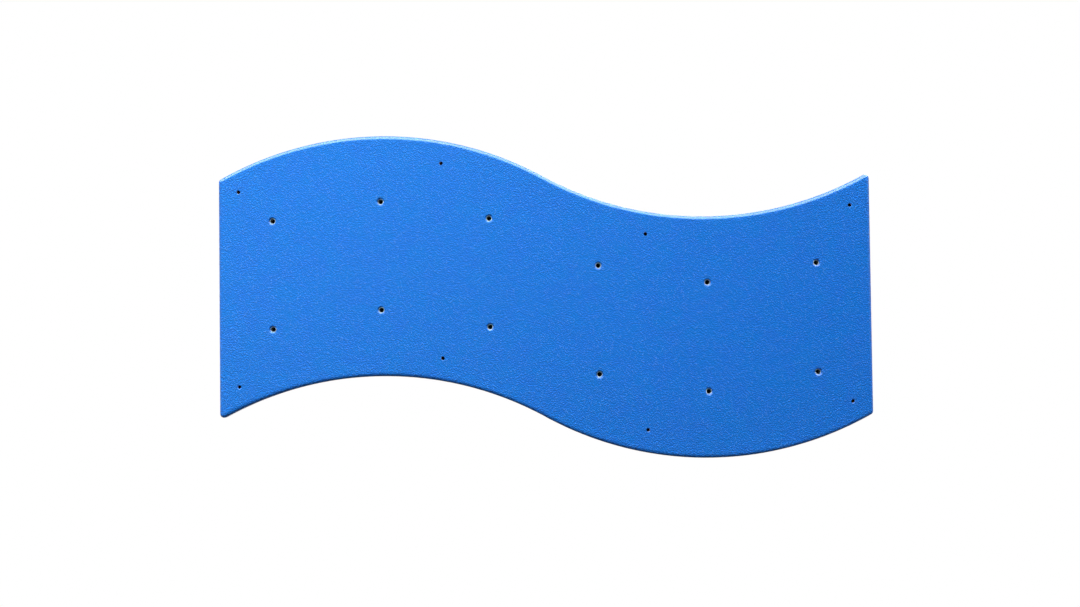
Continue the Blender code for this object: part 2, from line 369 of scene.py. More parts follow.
def plug(tree: NodeTree, node: Node, inputs: dict | tuple) -> None:
    """Set or link a node's inputs.

    Args:
        tree: the tree that the node is in.
        node: the node.
        inputs: what goes into them, by name or in the order in which the node shows them. Each is a
            value, a colour as sRGB hex, an output, or a node, which stands for its first output.
    """
    sockets = [socket for socket in node.inputs if not socket.is_unavailable]
    if isinstance(inputs, dict):
        named = {socket.name: socket for socket in sockets}
        sockets, inputs = [named[name] for name in inputs], tuple(inputs.values())
    for socket, value in zip(sockets, inputs):
        if isinstance(value, Node):
            value = next(output for output in value.outputs if not output.is_unavailable)
        if isinstance(value, NodeSocket):
            tree.links.new(value, socket)
        else:
            socket.default_value = linear(value) if isinstance(value, str) else value


def add_node(tree: NodeTree, kind: str, inputs: dict | tuple = (), **settings: str) -> Node:
    """Add a node with its settings and links.

    Args:
        tree: the tree that it goes into.
        kind: the node's type, without the ShaderNode in front.
        inputs: what plug puts into it.
        settings: the node's own properties.

    Returns:
        The node.
    """
    node = tree.nodes.new("ShaderNode" + kind)
    for name, value in settings.items():
        setattr(node, name, value)
    plug(tree, node, inputs)
    return node


def new_shader(name: str) -> tuple[Material, NodeTree, Node]:
    """Start a material.

    Args:
        name: its name.

    Returns:
        The material, its node tree and the Principled shader in it.
    """
    material = bpy.data.materials.new(name)
    material.use_nodes = True
    return material, material.node_tree, material.node_tree.nodes["Principled BSDF"]


# Finishes. Each fade holds the values between which one look gives way to the next.


@dataclass(frozen=True)
class TexturedPaint:
    """Acrylic texture paint, rolled on, left to dry with its stipple standing, and sealed.

    It gives a deep, even blue, broken up by fine grains that stand out of it. Light from above is
    painted into their colour: their tips get a painted highlight, their upper sides are painted paler
    and their lower sides painted darker, as painted shade. The sealer adds a thin gloss that shows on
    the rounded edge, and the flat sides get little of it.
    """

    blue: str = "#1475d8"
    violet_blue: str = "#1c71d9"
    patch: float = 30 * MM  # width of one pass of the roller's nap
    patch_fade: Pair = (0.35, 0.65)
    stipple: float = 2.2 * MM  # width of one grain, drawn coarser than the real ones so that it shows
    stipple_height: float = 1.6 * MM
    stipple_turn: tuple[float, float, float] = (0.7, 0.5, 0.9)  # off the panel's own directions
    # Painted highlight: the grains' tips are mixed towards this paler blue.
    painted_tip_highlight_blue: str = "#5899ec"
    painted_tip_highlight_fade: Pair = (0.55, 0.75)
    painted_tip_highlight_share: float = 0.62  # how much of the paler blue a tip takes on, as a painted highlight
    painted_flank_light_slope: float = 0.2
    painted_flank_light_share: float = 0.45  # painted light and shade: how much paler and darker the upper and lower sides are
    roughness: Pair = (0.44, 0.58)
    specular: float = 0.08
    sealer_fade: Pair = (-12.5 * MM, -14.5 * MM)  # y, from the sides to the front
    sealer: Pair = (0.25, 1.0)  # less on the flat sides, which the roller only grazes
    sealer_roughness: float = 0.25

    def material(self) -> Material:
        """Build the paint's material.

        Returns:
            The material.
        """
        material, tree, shader = new_shader("rolled_acrylic_texture_paint")
        place = add_node(tree, "TexCoord").outputs["Object"]
        nap = {"Vector": place, "Scale": grain_scale(self.patch), "Detail": 3.0, "Roughness": 0.6}
        patches = add_node(tree, "TexNoise", nap)
        share = add_node(tree, "MapRange", (patches, *self.patch_fade))
        body = add_node(tree, "Mix", (share, self.blue, self.violet_blue), data_type="RGBA")
        stipple = self.stipple_at(tree, place)
        relief = {"Strength": 1.0, "Distance": self.stipple_height, "Height": stipple}
        depth = add_node(tree, "SeparateXYZ", (place,)).outputs["Y"]
        finish = {
            "Base Color": self.with_painted_grain_light(tree, place, body, stipple),
            "Roughness": add_node(tree, "MapRange", (patches, 0.0, 1.0, *self.roughness)),
            "Normal": add_node(tree, "Bump", relief),
            "Specular IOR Level": self.specular,
            "Coat Weight": add_node(tree, "MapRange", (depth, *self.sealer_fade, *self.sealer)),
            "Coat Roughness": self.sealer_roughness,
        }
        plug(tree, shader, finish)
        return material

    def stipple_at(self, tree: NodeTree, place: NodeSocket) -> Node:
        """Noise for the height of the stipple.

        Args:
            tree: the paint's node tree.
            place: the place on the panel.

        Returns:
            The node whose output is the height.
        """
        turned = add_node(tree, "Mapping", {"Vector": place, "Rotation": self.stipple_turn})
        grains = {"Vector": turned, "Scale": grain_scale(self.stipple), "Detail": 1.0, "Roughness": 0.5}
        return add_node(tree, "TexNoise", grains)

    def with_painted_grain_light(self, tree: NodeTree, place: NodeSocket, body: Node, stipple: Node) -> Node:
        """The paint's colour, with painted light and shade on its grains.

        A grain's upper side is where the stipple is lower a third of a grain further up. The colour is
        scaled by 1 plus or minus the flank's share there, as painted light on upper sides and painted shade
        on lower sides, and then mixed with the tips' paler blue as a painted highlight.

        Args:
            tree: the paint's node tree.
            place: the place on the panel.
            body: the colour without grains.
            stipple: height of the stipple.

        Returns:
            The node whose output is the colour.
        """
        step = (0.0, 0.0, self.stipple / 3.0)
        further_up = add_node(tree, "VectorMath", (place, step), operation="ADD").outputs["Vector"]
        slope = add_node(tree, "Math", (stipple, self.stipple_at(tree, further_up)), operation="SUBTRACT")
        # Painted light and shade: upper sides scaled paler, lower sides darker, as if lit from above.
        painted_flank_shades = (1.0 - self.painted_flank_light_share, 1.0 + self.painted_flank_light_share)
        tone = add_node(tree, "MapRange", (slope, -self.painted_flank_light_slope, self.painted_flank_light_slope, *painted_flank_shades))
        with_painted_flank_light = add_node(tree, "VectorMath", (body, tone), operation="SCALE")
        # Painted highlight: the higher tips are mixed towards a paler blue.
        rise = (stipple, *self.painted_tip_highlight_fade, 0.0, self.painted_tip_highlight_share)
        tips = add_node(tree, "MapRange", rise, interpolation_type="SMOOTHSTEP")
        return add_node(tree, "Mix", (tips, with_painted_flank_light, self.painted_tip_highlight_blue), data_type="RGBA")


@dataclass(frozen=True)
class BirchPlywood:
    """Sanded birch plywood: a pale rotary-cut veneer, with bands of end grain where it is cut through.

    The face shows long, faint, watery figure along the board, and each cut wall shows its plies. The
    bores of the fixing holes are painted nearly black inside, as painted shade deep in the holes.
    """

    pale: str = "#e2c79c"
    tan: str = "#cfa873"
    dark: str = "#8f6538"
    end_grain: str = "#b08553"
    # Painted shade: the near black inside the fixing holes' bores.
    painted_bore_shade: str = "#140e09"
    figure: float = 9 * MM  # width of one band of the face's figure
    figure_stretch: float = 0.07  # width of a band over its length
    figure_fade: Pair = (0.3, 0.62)
    pore: float = 0.9 * MM  # width of a streak of pores, drawn coarser than the real ones so that it shows
    pore_stretch: float = 0.05
    pore_fade: Pair = (0.62, 0.78)
    pore_share: float = 0.5
    pore_height: float = 0.12 * MM
    cut_fade: Pair = (0.9, 0.8)  # the normal's share along y, from a face to a cut wall
    ply: float = 1.4 * MM  # thickness of one ply
    ply_fade: Pair = (-0.25, 0.25)
    fibre: float = 0.6 * MM  # width of a bundle of fibres in a cut, drawn coarser too
    roughness: float = 0.62

    def material(self) -> Material:
        """Build the wood's material.

        Returns:
            The material.
        """
        material, tree, shader = new_shader("sanded_birch_plywood")
        coordinates = add_node(tree, "TexCoord").outputs
        place = coordinates["Object"]
        along = add_node(tree, "Mapping", {"Vector": place, "Scale": (self.pore_stretch, 1.0, 1.0)})
        streaks = {"Vector": along, "Scale": grain_scale(self.pore), "Detail": 2.0}
        pores = add_node(tree, "TexNoise", streaks)
        facing = add_node(tree, "SeparateXYZ", (coordinates["Normal"],)).outputs["Y"]
        flatness = add_node(tree, "Math", (facing,), operation="ABSOLUTE")
        is_cut = add_node(tree, "MapRange", (flatness, *self.cut_fade))
        surfaces = (is_cut, self.veneer(tree, place, pores), self.cut(tree, place))
        wood = add_node(tree, "Mix", surfaces, data_type="RGBA")
        # Where the fixing holes' bores get their painted shade.
        painted_bore_shade_mask = add_node(tree, "Attribute", attribute_name="painted_bore_shade_mask").outputs["Fac"]
        relief = {"Strength": 0.6, "Distance": self.pore_height, "Height": pores}
        finish = {
            "Base Color": add_node(tree, "Mix", (painted_bore_shade_mask, wood, self.painted_bore_shade), data_type="RGBA"),
            "Normal": add_node(tree, "Bump", relief),
            "Roughness": self.roughness,
            "Specular IOR Level": 0.0,
        }
        plug(tree, shader, finish)
        return material

    def veneer(self, tree: NodeTree, place: NodeSocket, pores: Node) -> Node:
        """The face: tan to pale along its figure, with dark streaks of pores.

        Args:
            tree: the wood's node tree.
            place: the place on the board.
            pores: the streaks' noise.

        Returns:
            The node whose output is the colour.
        """
        along = add_node(tree, "Mapping", {"Vector": place, "Scale": (self.figure_stretch, 1.0, 1.0)})
        water = {"Scale": grain_scale(self.figure), "Detail": 5.0, "Roughness": 0.62, "Distortion": 0.8}
        figure = add_node(tree, "TexNoise", {"Vector": along, **water})
        paleness = add_node(tree, "MapRange", (figure, *self.figure_fade))
        face = add_node(tree, "Mix", (paleness, self.tan, self.pale), data_type="RGBA")
        streaked = add_node(tree, "MapRange", (pores, *self.pore_fade, 0.0, self.pore_share))
        return add_node(tree, "Mix", (streaked, face, self.dark), data_type="RGBA")

    def cut(self, tree: NodeTree, place: NodeSocket) -> Node:
        """A cut wall: plies that run along it and plies cut across, by turns.

        The turn is the sign of sin(pi * y / ply), with soft ends.

        Args:
            tree: the wood's node tree.
            place: the place on the board.

        Returns:
            The node whose output is the colour.
        """
        depth = add_node(tree, "SeparateXYZ", (place,)).outputs["Y"]
        phase = add_node(tree, "Math", (depth, math.pi / self.ply), operation="MULTIPLY")
        wave = add_node(tree, "Math", (phase,), operation="SINE")
        band = add_node(tree, "MapRange", (wave, *self.ply_fade))
        bundles = {"Vector": place, "Scale": grain_scale(self.fibre), "Detail": 3.0}
        fibres = add_node(tree, "TexNoise", bundles)
        long_ply, cross_ply = [
            add_node(tree, "Mix", (fibres, *colours), data_type="RGBA")
            for colours in ((self.pale, self.tan), (self.end_grain, self.dark))
        ]
        return add_node(tree, "Mix", (band, long_ply, cross_ply), data_type="RGBA")


@dataclass(frozen=True)
class ZincPlate:
    """Bright zinc plate on steel, as barrel-plated fasteners have it.

    It gives a cool silver with faint clouds of blue and straw, and a gloss that the tumbling has dulled.
    """

    name: str
    silver: str = "#d8e0e8"
    straw: str = "#dadad2"
    painted_thread_shade: str = "#151413"  # the tapped threads, painted nearly black as painted shade in the bore
    cloud: float = 5 * MM
    cloud_fade: Pair = (0.4, 0.66)
    scuff: float = 0.7 * MM  # width of a scuff, drawn coarser than the real ones so that it shows
    scuff_depth: float = 0.05 * MM
    scuff_fade: Pair = (0.3, 0.7)
    roughness: Pair = (0.35, 0.56)
    metal: float = 0.7  # the rest is the matt passivation film over the zinc

    def material(self) -> Material:
        """Build the plating's material.

        Returns:
            The material.
        """
        material, tree, shader = new_shader(self.name)
        place = add_node(tree, "TexCoord").outputs["Object"]
        clouds, scuffs = [
            add_node(tree, "TexNoise", {"Vector": place, "Scale": grain_scale(width), "Detail": detail})
            for width, detail in ((self.cloud, 4.0), (self.scuff, 3.0))
        ]
        share = add_node(tree, "MapRange", (clouds, *self.cloud_fade))
        colour = add_node(tree, "Mix", (share, self.silver, self.straw), data_type="RGBA")
        # Painted shade: the tapped threads, marked on the mesh, are mixed to near black.
        tapped = add_node(tree, "Attribute", attribute_name="tapped").outputs["Fac"]
        relief = {"Strength": 0.35, "Distance": self.scuff_depth, "Height": scuffs}
        finish = {
            "Base Color": add_node(tree, "Mix", (tapped, colour, self.painted_thread_shade), data_type="RGBA"),
            "Roughness": add_node(tree, "MapRange", (scuffs, *self.scuff_fade, *self.roughness)),
            "Normal": add_node(tree, "Bump", relief),
            "Metallic": self.metal,
        }
        plug(tree, shader, finish)
        return material


# The panel's shape and its holes


@dataclass(frozen=True)
class Hole:
    """One hole through the panel."""

    kind: HoleKind
    centre: Array  # (x, z)
    nut: str = ""  # node of the T-nut behind it
    screws: tuple[str, ...] = ()  # nodes of the T-nut's screws

    def screw_places(self) -> list[Array]:
        """The (x, z) of each of the T-nut's screws."""
        return [Seat.of(screw).centre for screw in self.screws]


@dataclass(frozen=True)
class PanelShape:
    """The wave outline: an arch on the left and the same arc as a dip on the right, between plumb ends."""

    width: float
    height: float
    thickness: float
    band: float = 450.85 * MM  # height of any plumb slice
    corner: float = 7.5 * MM  # width of the painted round along the front's edge
    coat: float = 0.8 * MM  # thickness of the paint
    seam: float = 0.3 * MM  # between the paint and the wood, all round
    cell: float = 3.0 * MM  # spacing of the front's grid
    fan_steps: int = 10  # directions round a corner

    @property
    def crest(self) -> float:
        """How far the arch's top lies from the middle."""
        return self.width / 4

    @property
    def wave_radius(self) -> float:
        """Radius of the wave's arcs, from the rise and the crest: (crest^2 + rise^2) / (2 rise)."""
        rise = (self.height - self.band) / 2
        return (self.crest**2 + rise**2) / (2 * rise)

    def upper_edge(self, x: Array) -> tuple[Array, Array]:
        """The upper long edge, drawn one corner radius inside the outline, and its outward directions.

        Over the arch a point lies at radius R - corner from the arch's centre, and over the dip at
        R + corner from the dip's centre. The two meet where the line between the centres crosses.

        Args:
            x: (n,) places across the panel.

        Returns:
            (n, 2) points and (n, 2) unit directions.
        """
        arch_centre = np.array([-self.crest, self.height / 2 - self.wave_radius])
        dip_centre = np.array([self.crest, self.band - self.height / 2 + self.wave_radius])
        on_arch = x < -self.corner * self.crest / self.wave_radius
        centre = np.where(on_arch[:, None], arch_centre, dip_centre)
        side = np.where(on_arch, 1.0, -1.0)
        radius = self.wave_radius - side * self.corner
        z = centre[:, 1] + side * np.sqrt(radius**2 - (x - centre[:, 0]) ** 2)
        points = np.stack([x, z], axis=-1)
        return points, side[:, None] * (points - centre) / radius[:, None]

    def front_grid(self) -> Array:
        """Places over the flat front, up to one corner radius from its edge.

        Columns are plumb and evenly spaced, and rows run from the lower edge to the upper one at even
        shares of the height between them.

        Returns:
            Grid of (rows, columns, 2) places.
        """
        half = self.width / 2 - self.corner
        x = np.linspace(-half, half, 1 + round(2 * half / self.cell))
        upper = self.upper_edge(x)[0][:, 1]
        lower = -self.upper_edge(-x)[0][:, 1]
        share = np.linspace(0.0, 1.0, 1 + round(self.band / self.cell))[:, None]
        z = lower + (upper - lower) * share
        return np.stack([np.broadcast_to(x, z.shape), z], axis=-1)

    def border(self) -> tuple[Array, Array]:
        """The front grid's border, clockwise from the top left, and the outward direction at each point.

        Where two sides meet, their corner is repeated with directions fanned out between theirs. The
        second half of the loop is the first half turned half round the middle.

        Returns:
            (n, 2) points and (n, 2) unit directions.
        """
        cells = self.front_grid()
        upper, upward = self.upper_edge(cells[-1, :, 0])
        end = cells[::-1, -1]
        plumb = np.broadcast_to([1.0, 0.0], end.shape)
        acute = self.fan(upward[-1], plumb[0])
        obtuse = self.fan(plumb[-1], -upward[0])
        points = [upper, np.broadcast_to(end[0], acute.shape), end, np.broadcast_to(end[-1], obtuse.shape)]
        half = np.concatenate(points)
        outward = np.concatenate([upward, acute, plumb, obtuse])
        return np.concatenate([half, -half]), np.concatenate([outward, -outward])

    def fan(self, start: Array, end: Array) -> Array:
        """Unit directions between two others, both left out, at even angles clockwise."""
        first, last = (math.atan2(side[1], side[0]) for side in (start, end))
        return directions(np.linspace(first, last, self.fan_steps)[1:-1])

    def sweep(self, profile: Array) -> Array:
        """Carry an edge profile round the panel: border + (corner - inset) * outward, at its depth.

        Args:
            profile: (rows, 2) points of inset from the outline and depth.

        Returns:
            Grid of (rows, border, 3) points.
        """
        border, outward = self.border()
        reach = (self.corner - profile[:, 0])[:, None, None]
        return at_depth(border + reach * outward, profile[:, 1][:, None])

    def ring(self, inset: float) -> Array:
        """Loop of (n, 2) places at an inset from the outline."""
        border, outward = self.border()
        return border + (self.corner - inset) * outward


def panel_holes() -> list[Hole]:
    """Find every hole in the frame.

    Returns:
        One hole over each T-nut, in the order of their names, then the stated fixing holes.
    """
    nodes = sorted(frame["nodes"])
    holes = []
    for nut in nodes:
        if nut.startswith("tnut_row"):
            start = nut.replace("tnut", "tnut_screw") + "_"
            screws = tuple(node for node in nodes if node.startswith(start))
            holes.append(Hole(HoleKind.HOLD, Seat.of(nut).centre, nut, screws))
    for opening in frame["record"]["physics"]["openings"]:
        if opening["name"].startswith("fixing"):
            middle = np.mean(opening["box_m"], axis=0)
            holes.append(Hole(HoleKind.FIXING, middle[[0, 2]]))
    return holes


# Pieces


@dataclass
class Piece:
    """A finer piece that stands in the place of one node of the frame."""

    node: str

    def build(self) -> Object:
        """Build the piece's mesh, in its place."""
        raise NotImplementedError

    def dress(self, material: Material, slot: Slot) -> None:
        """Build the piece, give it its material and tie it to the frame in its node's place.

        Args:
            material: its finish.
            slot: the record's slot for that finish; not used.
        """
        piece = self.build()
        piece.data.materials.append(material)
        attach(piece, "root")
        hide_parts(self.node)
        log.info("%s: %d faces, for %s", piece.name, len(piece.data.polygons), self.node)


@dataclass(frozen=True)
class Mouth:
    """How the paint turns into one kind of hole and how the wood under it is bored."""

    bore: float  # radius of the hole in the wood
    film: float  # thickness of the paint on the hole's wall
    bevel: float  # width of the painted bevel that eases the hole's edge
    chamfer: float  # width of the 45 degree chamfer cut in the wood under it
    reach: float  # how deep the paint runs into the hole, from the panel's front
    cells: int  # half the width of the grid that gives way to the hole, in cells
    outer_round: float = 0.9 * MM  # radii that the paint makes over the bevel's two edges
    inner_round: float = 0.3 * MM
    round_steps: int = 3

    @property
    def wall(self) -> float:
        """Radius of the painted wall."""
        return self.bore - self.film

    def lip(self, top: float) -> Array:
        """Profile from the flat front, over a 45 degree bevel with rounded edges, to the wall.

        Args:
            top: depth of the panel's front.

        Returns:
            (rows, 2) radii and depths.
        """
        steps, low = self.round_steps, self.wall + self.inner_round
        outer = arc((self.wall + self.bevel, top - self.outer_round), self.outer_round, 90, 135, steps)
        slant = self.inner_round * math.sin(math.pi / 4)
        drop = outer[-1, 0] - low + slant
        inner = arc((low, outer[-1, 1] - drop - slant), self.inner_round, 135, 180, steps)
        return np.concatenate([outer, inner])

    def front_end(self, thickness: float) -> list[Pair]:
        """The end of the bore's profile at the front of the wood: its wall, then the chamfer."""
        return [(self.bore, thickness - self.chamfer), (self.bore + self.chamfer, thickness)]


MOUTHS = {
    HoleKind.HOLD: Mouth(
        bore=6.0 * MM, film=0.3 * MM, bevel=2.2 * MM, chamfer=1.35 * MM, reach=3.8 * MM, cells=5
    ),
    HoleKind.FIXING: Mouth(
        bore=3.5 * MM, film=0.14 * MM, bevel=0.9 * MM, chamfer=0.2 * MM, reach=3.0 * MM, cells=4
    ),
}


@dataclass
class TexturedCoat(Piece):
    """The paint: a skin over the front, the rounded edge and the sides, turned in at every hole."""

    shape: PanelShape
    holes: list[Hole]
    roundover: float = 6.35 * MM
    back_gap: float = 1.0 * MM  # from the back face to where the paint ends
    round_steps: int = 8
    side_rows: int = 4
    wall_clearance: float = 0.05 * MM  # between the paint's hidden side and the wood in a hole
    lead_shares: tuple[float, ...] = (0.0, 0.35, 0.65, 0.85)  # rows from a square rim to a round mouth
    relief: Relief = Relief(grain=9 * MM, height=0.035 * MM)

    def build(self) -> Object:
        """Build the whole skin as one closed piece.

        Returns:
            The paint.
        """
        skin = Skin("relief")
        loops = self.add_front(skin)
        self.add_edge(skin)
        skin.fill(self.shape.ring(self.roundover), loops, self.shape.thickness - self.shape.coat)
        return skin.piece("textured_paint_coat", self.relief)

    def add_front(self, skin: Skin) -> list[Array]:
        """Lay the flat front as a grid that gives way to each hole.

        Args:
            skin: the paint's surface so far.

        Returns:
            The loop in the paint's hidden side at each hole.
        """
        cells = self.shape.front_grid()
        keep = np.ones((cells.shape[0] - 1, cells.shape[1] - 1), bool)
        loops = []
        for hole in self.holes:
            mouth = MOUTHS[hole.kind]
            distance = np.hypot(cells[..., 0] - hole.centre[0], cells[..., 1] - hole.centre[1])
            row, column = np.unravel_index(np.argmin(distance), distance.shape)
            rows, columns = (slice(middle - mouth.cells, middle + mouth.cells) for middle in (row, column))
            keep[rows, columns] = False
            patch = cells[rows.start : rows.stop + 1, columns.start : columns.stop + 1]
            loops.append(self.add_mouth(skin, rim_of(patch), hole.centre, mouth))
        skin.grid(at_depth(cells, self.shape.thickness), closed=False, keep=keep, mark=1.0)
        return loops

    def add_mouth(self, skin: Skin, rim: Array, centre: Array, mouth: Mouth) -> Array:
        """Lead the paint from a square rim in the grid to a round mouth and down the hole's wall.

        Rows go from the rim to the mouth's circle as rim * (1 - t) + circle * t, then over the lip,
        straight down the wall, and back up behind it where the paint meets the wood.

        Args:
            skin: the paint's surface so far.
            rim: (n, 2) places round the gap in the grid.
            centre: (x, z) of the hole.
            mouth: the shape of its mouth.

        Returns:
            (n, 2) loop in the paint's hidden side.
        """
        around = out_from(centre, rim)
        top = self.shape.thickness
        circle = centre + (mouth.wall + mouth.bevel) * around
        share = np.array(self.lead_shares)[:, None, None]
        lead = at_depth(rim * (1.0 - share) + circle * share, top)
        end, back = top - mouth.reach, top - self.shape.coat
        hidden = mouth.bore - self.wall_clearance
        flare = hidden + mouth.chamfer
        inside = [(mouth.wall, end), (hidden, end), (hidden, back - mouth.chamfer), (flare, back)]
        profile = np.concatenate([mouth.lip(top), inside])
        wall = lathe(profile[:, 0], profile[:, 1], centre, around)
        mark = np.repeat([1.0, 0.0], [len(lead), len(wall)])
        skin.grid(np.concatenate([lead, wall]), mark=mark)
        return centre + flare * around

    def add_edge(self, skin: Skin) -> None:
        """Carry the paint over the rounded edge, down the side and back up behind itself.

        The paint draws the wood's round out to an ellipse: a quarter turn, one corner radius wide.

        Args:
            skin: the paint's surface so far.
        """
        top = self.shape.thickness
        radius = self.roundover
        film = self.shape.coat
        outside = arc((radius, top - radius), radius, 90, 180, self.round_steps)
        outside[:, 0] *= self.shape.corner / radius
        side = np.linspace(top - radius, self.back_gap, self.side_rows + 1)[1:]
        side = np.stack([np.zeros_like(side), side], axis=-1)
        inside = arc((radius, top - radius), radius - film, 180, 90, self.round_steps // 2)
        profile = np.concatenate([outside, side, [(film, self.back_gap)], inside])
        shown = len(outside) + len(side)
        skin.grid(self.shape.sweep(profile), mark=np.repeat([1.0, 0.0], [shown, len(profile) - shown]))


@dataclass
class PlywoodBoard(Piece):
    """The drilled board, bare where the paint doesn't reach."""

    shape: PanelShape
    holes: list[Hole]
    thickness: float = 18 * MM
    coat_roundover: float = 6.35 * MM
    back_break: float = 1.0 * MM
    recess_radius: float = 16 * MM
    recess_depth: float = 5 * MM
    edge_break: float = 0.25 * MM  # fuzz that sanding leaves round on a cut edge
    painted_bore_shade_from: float = 1.0 * MM  # depth at which a fixing hole's painted shade begins
    pilot_radius: float = 2.05 * MM
    pilot_depth: float = 15.8 * MM
    round_steps: int = 6
    recess_sides: int = 96
    bore_sides: int = 48
    pilot_sides: int = 24

    def build(self) -> Object:
        """Build the board as one closed piece.

        Returns:
            The board.
        """
        skin = Skin("painted_bore_shade_mask")
        inset = self.shape.coat + self.shape.seam
        radius = self.coat_roundover - inset
        edge = arc((self.coat_roundover, self.thickness - radius), radius, 180, 90, self.round_steps)
        chamfer = [(inset + self.back_break, 0.0), (inset, self.back_break)]
        skin.grid(self.shape.sweep(np.concatenate([chamfer, edge])))
        cuts = {HoleKind.HOLD: self.add_recess, HoleKind.FIXING: self.add_fixing}
        loops = [cuts[hole.kind](skin, hole) for hole in self.holes]
        skin.fill(self.shape.ring(inset + self.back_break), [back for back, front in loops], 0.0)
        skin.fill(self.shape.ring(self.coat_roundover), [front for back, front in loops], self.thickness)
        return skin.piece("birch_plywood_board")

    def add_recess(self, skin: Skin, hole: Hole) -> tuple[Array, Array]:
        """Cut a T-nut's recess, its barrel hole and its screws' pilot holes.

        Args:
            skin: the board's surface so far.
            hole: the hole.

        Returns:
            Its loops in the back face and in the front face.
        """
        centre, mouth = hole.centre, MOUTHS[HoleKind.HOLD]
        wide, fine, small = spokes(self.recess_sides), spokes(self.bore_sides), spokes(self.pilot_sides)
        radius, eased, floor = self.recess_radius, self.edge_break, self.recess_depth
        wall = np.array([(radius + eased, 0.0), (radius, eased), (radius, floor)])
        barrel = np.array([(mouth.bore, floor), *mouth.front_end(self.thickness)])
        pilot = np.array([(self.pilot_radius, floor), (self.pilot_radius, self.pilot_depth)])
        skin.turn(wall, centre, wide)
        skin.turn(barrel, centre, fine)
        pilots = [place + self.pilot_radius * small for place in hole.screw_places()]
        for place, loop in zip(hole.screw_places(), pilots):
            skin.turn(pilot, place, small)
            skin.fill(loop, [], self.pilot_depth)
        skin.fill(centre + radius * wide, [centre + mouth.bore * fine, *pilots], floor)
        return centre + wall[0, 0] * wide, centre + barrel[-1, 0] * fine

    def add_fixing(self, skin: Skin, hole: Hole) -> tuple[Array, Array]:
        """Bore a fixing hole through the board, its edge broken at the back and painted shade inside it.

        Args:
            skin: the board's surface so far.
            hole: the hole.

        Returns:
            Its loops in the back face and in the front face.
        """
        mouth = MOUTHS[HoleKind.FIXING]
        fine, eased = spokes(self.bore_sides), self.edge_break
        back_end = [(mouth.bore + eased, 0.0), (mouth.bore, eased), (mouth.bore, self.painted_bore_shade_from)]
        profile = np.array([*back_end, *mouth.front_end(self.thickness)])
        # Painted shade: the wall is darkened from just inside the back to the chamfer at the front.
        painted_bore_shade = np.array([0.0, 0.0, 1.0, 1.0, 0.0])
        skin.turn(profile, hole.centre, fine, painted_bore_shade)
        return hole.centre + profile[0, 0] * fine, hole.centre + profile[-1, 0] * fine


@dataclass
class TNut(Piece):
    """A screw-on T-nut: a round flange with three screw holes, and a barrel tapped right through."""

    screws: list[Array]  # (x, z) of each
    barrel: float = 5.55 * MM  # radii, here and below
    mouth: float = 4.5 * MM
    bore: float = 4.0 * MM
    screw_hole: float = 2.05 * MM
    flange_thickness: float = 1.6 * MM
    fillet: float = 0.7 * MM
    edge: float = 0.15 * MM  # rounding that plating and tumbling leave on an edge
    lead_in: float = 0.5 * MM  # depth of the countersink at each end of the thread
    plated: float = 0.08 * MM  # how far the bright plating reaches into it, before the threads' painted shade begins
    thread: Thread = Thread(pitch=INCH / 16, height=0.72 * MM)
    sides: int = 64
    hole_sides: int = 24
    edge_steps: int = 3
    fillet_steps: int = 4

    def build(self) -> Object:
        """Build the T-nut where its node is.

        Returns:
            The T-nut.
        """
        seat = Seat.of(self.node)
        centre, back, end = seat.centre, seat.back, seat.front
        front = back + self.flange_thickness
        around, fine = spokes(self.sides), spokes(self.hole_sides)
        edge, steps, flat, fillet = self.edge, self.edge_steps, seat.radius - self.edge, self.fillet
        skin = Skin("tapped")
        foot = arc((self.barrel + fillet, front + fillet), fillet, 270, 180, self.fillet_steps)
        top = arc((self.barrel - edge, end - edge), edge, 0, 90, steps)
        skin.turn(np.concatenate([foot, top, [(self.mouth, end)]]), centre, around)
        self.add_thread(skin, seat, around)
        rim = arc((flat, front - edge), edge, 90, 0, steps), arc((flat, back + edge), edge, 0, -90, steps)
        skin.turn(np.concatenate(rim), centre, around)
        holes = [place + self.screw_hole * fine for place in self.screws]
        for place in self.screws:
            skin.turn(np.array([(self.screw_hole, back), (self.screw_hole, front)]), place, fine)
        skin.fill(centre + flat * around, [centre + self.mouth * around, *holes], back)
        skin.fill(centre + flat * around, [centre + foot[0, 0] * around, *holes], front)
        return skin.piece(f"zinc_{self.node}")

    def add_thread(self, skin: Skin, seat: Seat, around: Array) -> None:
        """Tap the bore from end to end, with a countersink at each mouth.

        Args:
            skin: the T-nut's surface so far.
            seat: where it lies.
            around: (spokes, 2) unit directions.
        """
        back, end = seat.back, seat.front
        radii, depths = self.thread.wall(self.bore, back + self.lead_in, end - self.lead_in, around)
        depths = np.concatenate([[back, back + self.plated], depths, [end - self.plated, end]])
        ends = np.tile([[self.mouth], [self.mouth - self.plated]], (1, len(around)))
        # The thread rows are marked for their painted shade; the countersinks keep the zinc colour.
        tapped = np.ones(len(depths))
        tapped[[0, -1]] = 0.0
        radii = np.concatenate([ends, radii, ends[::-1]])
        skin.grid(lathe(radii, depths, seat.centre, around), mark=tapped)


